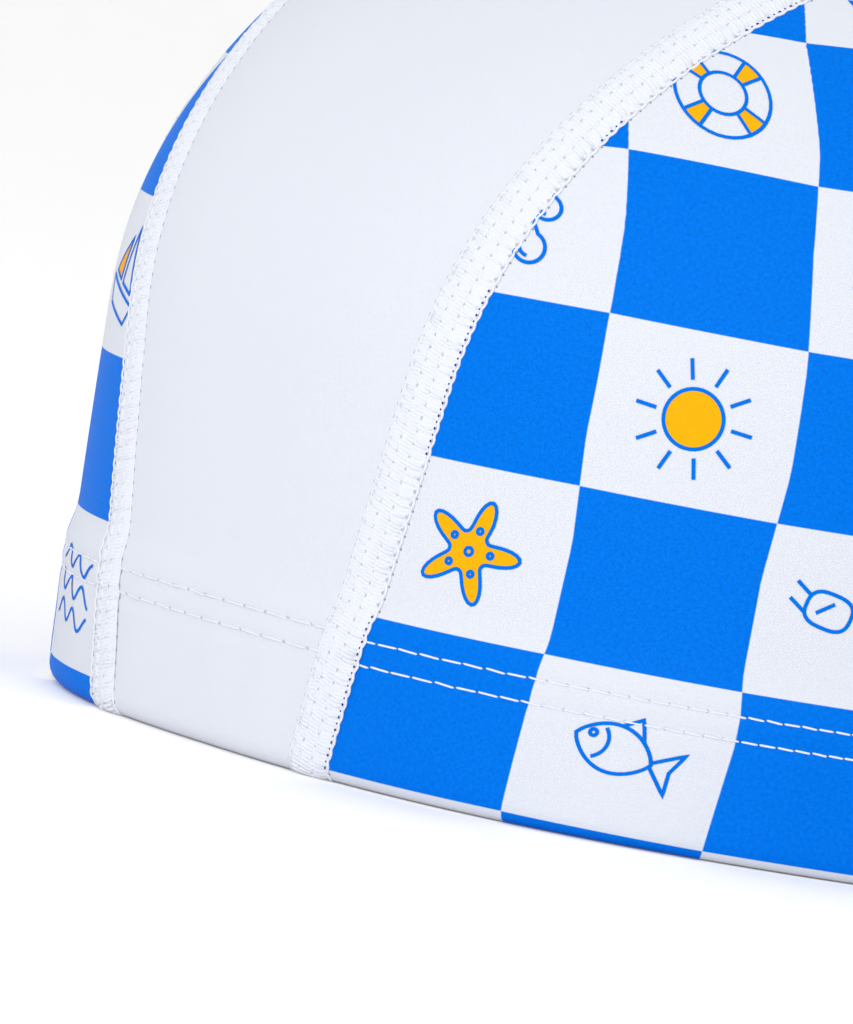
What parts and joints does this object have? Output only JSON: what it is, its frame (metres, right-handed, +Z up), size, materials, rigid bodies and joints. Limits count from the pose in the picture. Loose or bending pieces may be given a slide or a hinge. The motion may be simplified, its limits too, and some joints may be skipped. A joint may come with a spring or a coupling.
{
  "type": "swim cap",
  "caption": "Panelled fabric swim cap: plain centre panel, blue and white checked side panels, raised flat seams and a turned-in hem, open underneath.",
  "frame": {"origin": "on the floor under the middle of the cap, in the plane of its rim", "axes": "+Z up out of the crown, -Y towards the forehead, +X towards the wearer's left"},
  "size_m": [0.1562, 0.1942, 0.105],
  "materials": {
    "white_cloth": "smooth coated knit with a soft satin sheen",
    "checked_cloth": "smooth coated knit printed in blue and white checks",
    "seam_thread": "dense white overlock thread, matt"
  },
  "bodies": {
    "root": {"centre_panel": "white_cloth", "left_side_panel": "checked_cloth", "right_side_panel": "checked_cloth", "left_seam": "seam_thread", "right_seam": "seam_thread"}
  },
  "joints": []
}
